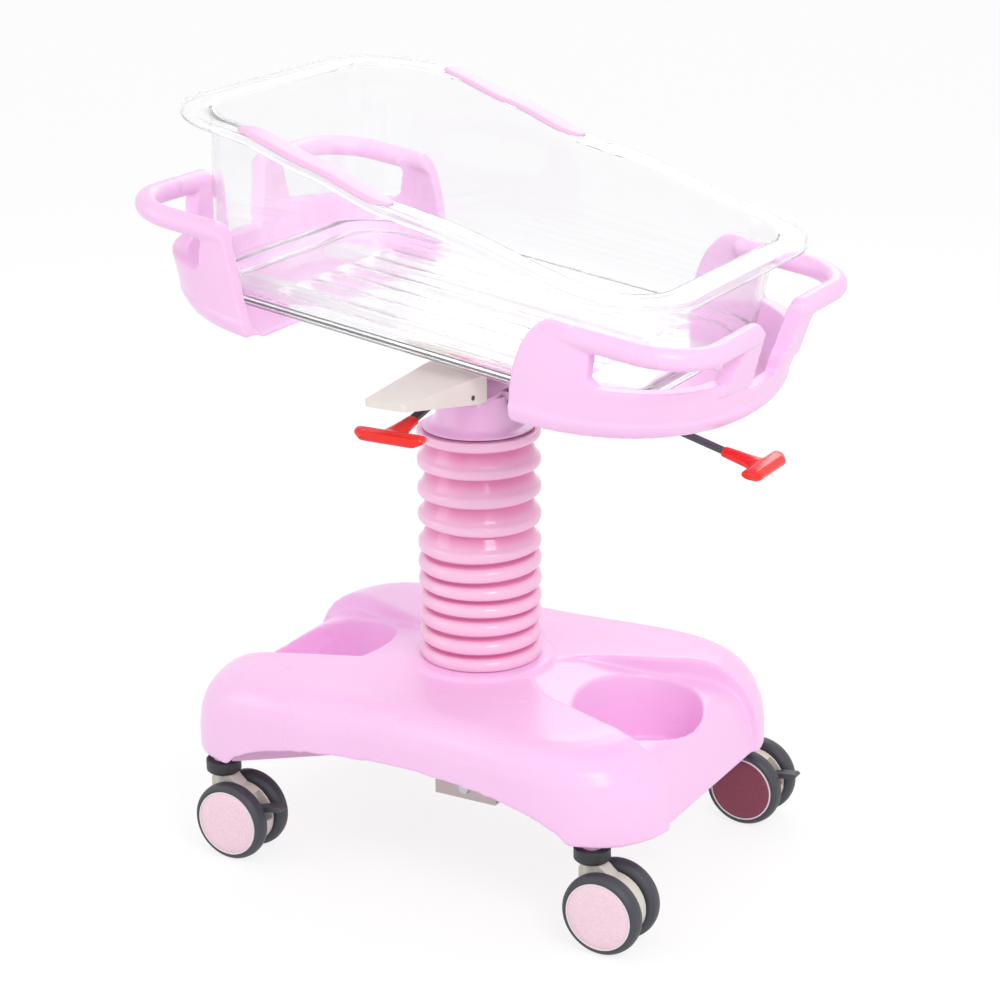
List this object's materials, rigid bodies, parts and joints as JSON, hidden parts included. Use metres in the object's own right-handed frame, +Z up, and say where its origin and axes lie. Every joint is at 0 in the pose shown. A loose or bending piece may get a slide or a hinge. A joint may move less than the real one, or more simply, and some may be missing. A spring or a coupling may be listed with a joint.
{
  "type": "hospital crib",
  "caption": "Wheeled baby crib with a clear tub on a tilting cradle, a lifting bellows column, release levers and a moulded base with storage wells.",
  "frame": {"origin": "on the floor, midway between the four caster stems, on the mast's axis", "axes": "+X towards the foot end, -Y towards the side with the lift lever, +Z up"},
  "size_m": [0.7668, 0.496, 0.9482],
  "materials": {
    "pink_shell": "satin moulded plastic",
    "pink_bellows": "soft satin bellows",
    "pink_grip": "soft satin",
    "cream_steel": "satin powder coat",
    "mast_steel": "satin",
    "pink_steel": "satin powder coat",
    "white_steel": "satin powder coat",
    "bright_steel": "polished",
    "dark_steel": "dark satin",
    "black_plastic": "matt",
    "red_grip": "gloss",
    "clear_tub": "clear moulded plastic",
    "ivory_hood": "satin",
    "tyre": "matt",
    "cap_pink": "satin",
    "cap_maroon": "satin",
    "pedal_grey": "matt"
  },
  "bodies": {
    "base": {"base_cover": "pink_shell", "chassis_frame": "pink_steel", "mast_foot_bracket": "cream_steel", "foot_bolt": "bright_steel", "mast_outer_tube": "mast_steel", "mast_bush": "black_plastic", "lift_spring_cylinder": "black_plastic", "caster_collars": "black_plastic", "caster_kingpins": "bright_steel", "bellows_clamp": "black_plastic", "bellows": "pink_bellows"},
    "mast_head": {"mast_inner_tube": "mast_steel", "lift_spring_rod": "bright_steel", "mast_cone": "pink_shell", "pivot_bracket": "pink_steel", "tilt_axle": "bright_steel", "mast_head_pins": "bright_steel", "side_channel": "cream_steel", "side_channel_plugs": "black_plastic"},
    "side_lever": {"side_lever_rod": "dark_steel", "side_lever_grip": "red_grip"},
    "cradle": {"cradle_frame": "white_steel", "foot_end_shell": "pink_shell", "head_end_shell": "pink_shell", "shell_screws": "bright_steel", "foot_channel": "cream_steel", "cradle_pins": "bright_steel", "tub": "clear_tub", "near_rim_grip": "pink_grip", "far_rim_grip": "pink_grip"},
    "foot_lever": {"foot_lever_rod": "dark_steel", "foot_lever_grip": "red_grip"},
    "tilt_rod": {"tilt_gas_rod": "bright_steel"},
    "tilt_cylinder": {"tilt_gas_cylinder": "black_plastic"},
    "caster_head_near": {"caster_head_near_hood": "ivory_hood", "caster_head_near_axle": "bright_steel"},
    "caster_head_near_wheel_a_set": {"caster_head_near_wheel_a": "tyre", "caster_head_near_cap_a": "cap_pink"},
    "caster_head_near_wheel_b_set": {"caster_head_near_wheel_b": "tyre", "caster_head_near_cap_b": "cap_pink"},
    "caster_head_near_brake": {"caster_head_near_pedal": "pedal_grey"},
    "caster_head_far": {"caster_head_far_hood": "ivory_hood", "caster_head_far_axle": "bright_steel"},
    "caster_head_far_wheel_a_set": {"caster_head_far_wheel_a": "tyre", "caster_head_far_cap_a": "cap_pink"},
    "caster_head_far_wheel_b_set": {"caster_head_far_wheel_b": "tyre", "caster_head_far_cap_b": "cap_pink"},
    "caster_foot_near": {"caster_foot_near_hood": "ivory_hood", "caster_foot_near_axle": "bright_steel"},
    "caster_foot_near_wheel_a_set": {"caster_foot_near_wheel_a": "tyre", "caster_foot_near_cap_a": "cap_pink"},
    "caster_foot_near_wheel_b_set": {"caster_foot_near_wheel_b": "tyre", "caster_foot_near_cap_b": "cap_pink"},
    "caster_foot_far": {"caster_foot_far_hood": "ivory_hood", "caster_foot_far_axle": "bright_steel"},
    "caster_foot_far_wheel_a_set": {"caster_foot_far_wheel_a": "tyre", "caster_foot_far_cap_a": "cap_maroon"},
    "caster_foot_far_wheel_b_set": {"caster_foot_far_wheel_b": "tyre", "caster_foot_far_cap_b": "cap_maroon"},
    "caster_foot_far_brake": {"caster_foot_far_pedal": "pedal_grey"}
  },
  "joints": [
    {"name": "mast_lift", "type": "slide", "parent": "base", "child": "mast_head", "axis": [0, 0, 1], "range_m": [-0.14, 0.04], "deforming": ["bellows"]},
    {"name": "tub_tilt", "type": "hinge", "parent": "mast_head", "child": "cradle", "pos_m": [0, 0, 0.621], "axis": [0, 1, 0], "range_deg": [-20, 4]},
    {"name": "side_lever_squeeze", "type": "hinge", "parent": "mast_head", "child": "side_lever", "pos_m": [0, -0.083, 0.603], "axis": [1, 0, 0], "range_deg": [-5, 0], "stiffness_Nm_per_rad": 6, "springref_deg": 6.88},
    {"name": "foot_lever_squeeze", "type": "hinge", "parent": "cradle", "child": "foot_lever", "pos_m": [0.24857, 0, 0.579], "axis": [0, 1, 0], "range_deg": [-5, 0], "stiffness_Nm_per_rad": 6, "springref_deg": 6.88},
    {"name": "tilt_spring_swing", "type": "hinge", "parent": "cradle", "child": "tilt_rod", "pos_m": [0.21831, 0, 0.57921], "axis": [0, 1, 0], "range_deg": [-5.5, 1.3]},
    {"name": "tilt_spring_stroke", "type": "slide", "parent": "tilt_rod", "child": "tilt_cylinder", "axis": [-0.9999, 0, 0.0108], "range_m": [-0.0036, 0.0169]},
    {"name": "caster_head_near_swivel", "type": "hinge", "parent": "base", "child": "caster_head_near", "pos_m": [-0.261, -0.198, 0.09], "axis": [0, 0, 1], "continuous": true},
    {"name": "caster_head_near_roll_a", "type": "hinge", "parent": "caster_head_near", "child": "caster_head_near_wheel_a_set", "pos_m": [-0.236, -0.198, 0.05], "axis": [0, 1, 0], "continuous": true},
    {"name": "caster_head_near_roll_b", "type": "hinge", "parent": "caster_head_near", "child": "caster_head_near_wheel_b_set", "pos_m": [-0.236, -0.198, 0.05], "axis": [0, 1, 0], "continuous": true},
    {"name": "caster_head_near_brake_press", "type": "hinge", "parent": "caster_head_near", "child": "caster_head_near_brake", "pos_m": [-0.213, -0.198, 0.063], "axis": [0, 1, 0], "range_deg": [0, 6]},
    {"name": "caster_head_far_swivel", "type": "hinge", "parent": "base", "child": "caster_head_far", "pos_m": [-0.261, 0.198, 0.09], "axis": [0, 0, 1], "continuous": true},
    {"name": "caster_head_far_roll_a", "type": "hinge", "parent": "caster_head_far", "child": "caster_head_far_wheel_a_set", "pos_m": [-0.236, 0.198, 0.05], "axis": [0, 1, 0], "continuous": true},
    {"name": "caster_head_far_roll_b", "type": "hinge", "parent": "caster_head_far", "child": "caster_head_far_wheel_b_set", "pos_m": [-0.236, 0.198, 0.05], "axis": [0, 1, 0], "continuous": true},
    {"name": "caster_foot_near_swivel", "type": "hinge", "parent": "base", "child": "caster_foot_near", "pos_m": [0.261, -0.198, 0.09], "axis": [0, 0, 1], "continuous": true},
    {"name": "caster_foot_near_roll_a", "type": "hinge", "parent": "caster_foot_near", "child": "caster_foot_near_wheel_a_set", "pos_m": [0.286, -0.198, 0.05], "axis": [0, 1, 0], "continuous": true},
    {"name": "caster_foot_near_roll_b", "type": "hinge", "parent": "caster_foot_near", "child": "caster_foot_near_wheel_b_set", "pos_m": [0.286, -0.198, 0.05], "axis": [0, 1, 0], "continuous": true},
    {"name": "caster_foot_far_swivel", "type": "hinge", "parent": "base", "child": "caster_foot_far", "pos_m": [0.261, 0.198, 0.09], "axis": [0, 0, 1], "continuous": true},
    {"name": "caster_foot_far_roll_a", "type": "hinge", "parent": "caster_foot_far", "child": "caster_foot_far_wheel_a_set", "pos_m": [0.286, 0.198, 0.05], "axis": [0, 1, 0], "continuous": true},
    {"name": "caster_foot_far_roll_b", "type": "hinge", "parent": "caster_foot_far", "child": "caster_foot_far_wheel_b_set", "pos_m": [0.286, 0.198, 0.05], "axis": [0, 1, 0], "continuous": true},
    {"name": "caster_foot_far_brake_press", "type": "hinge", "parent": "caster_foot_far", "child": "caster_foot_far_brake", "pos_m": [0.309, 0.198, 0.063], "axis": [0, 1, 0], "range_deg": [0, 6]}
  ],
  "couplings": [
    {"joint": "tilt_spring_swing", "follows": "tub_tilt", "ratio": 0.2613},
    {"joint": "tilt_spring_stroke", "follows": "tub_tilt", "m_per_rad": -0.04733}
  ]
}
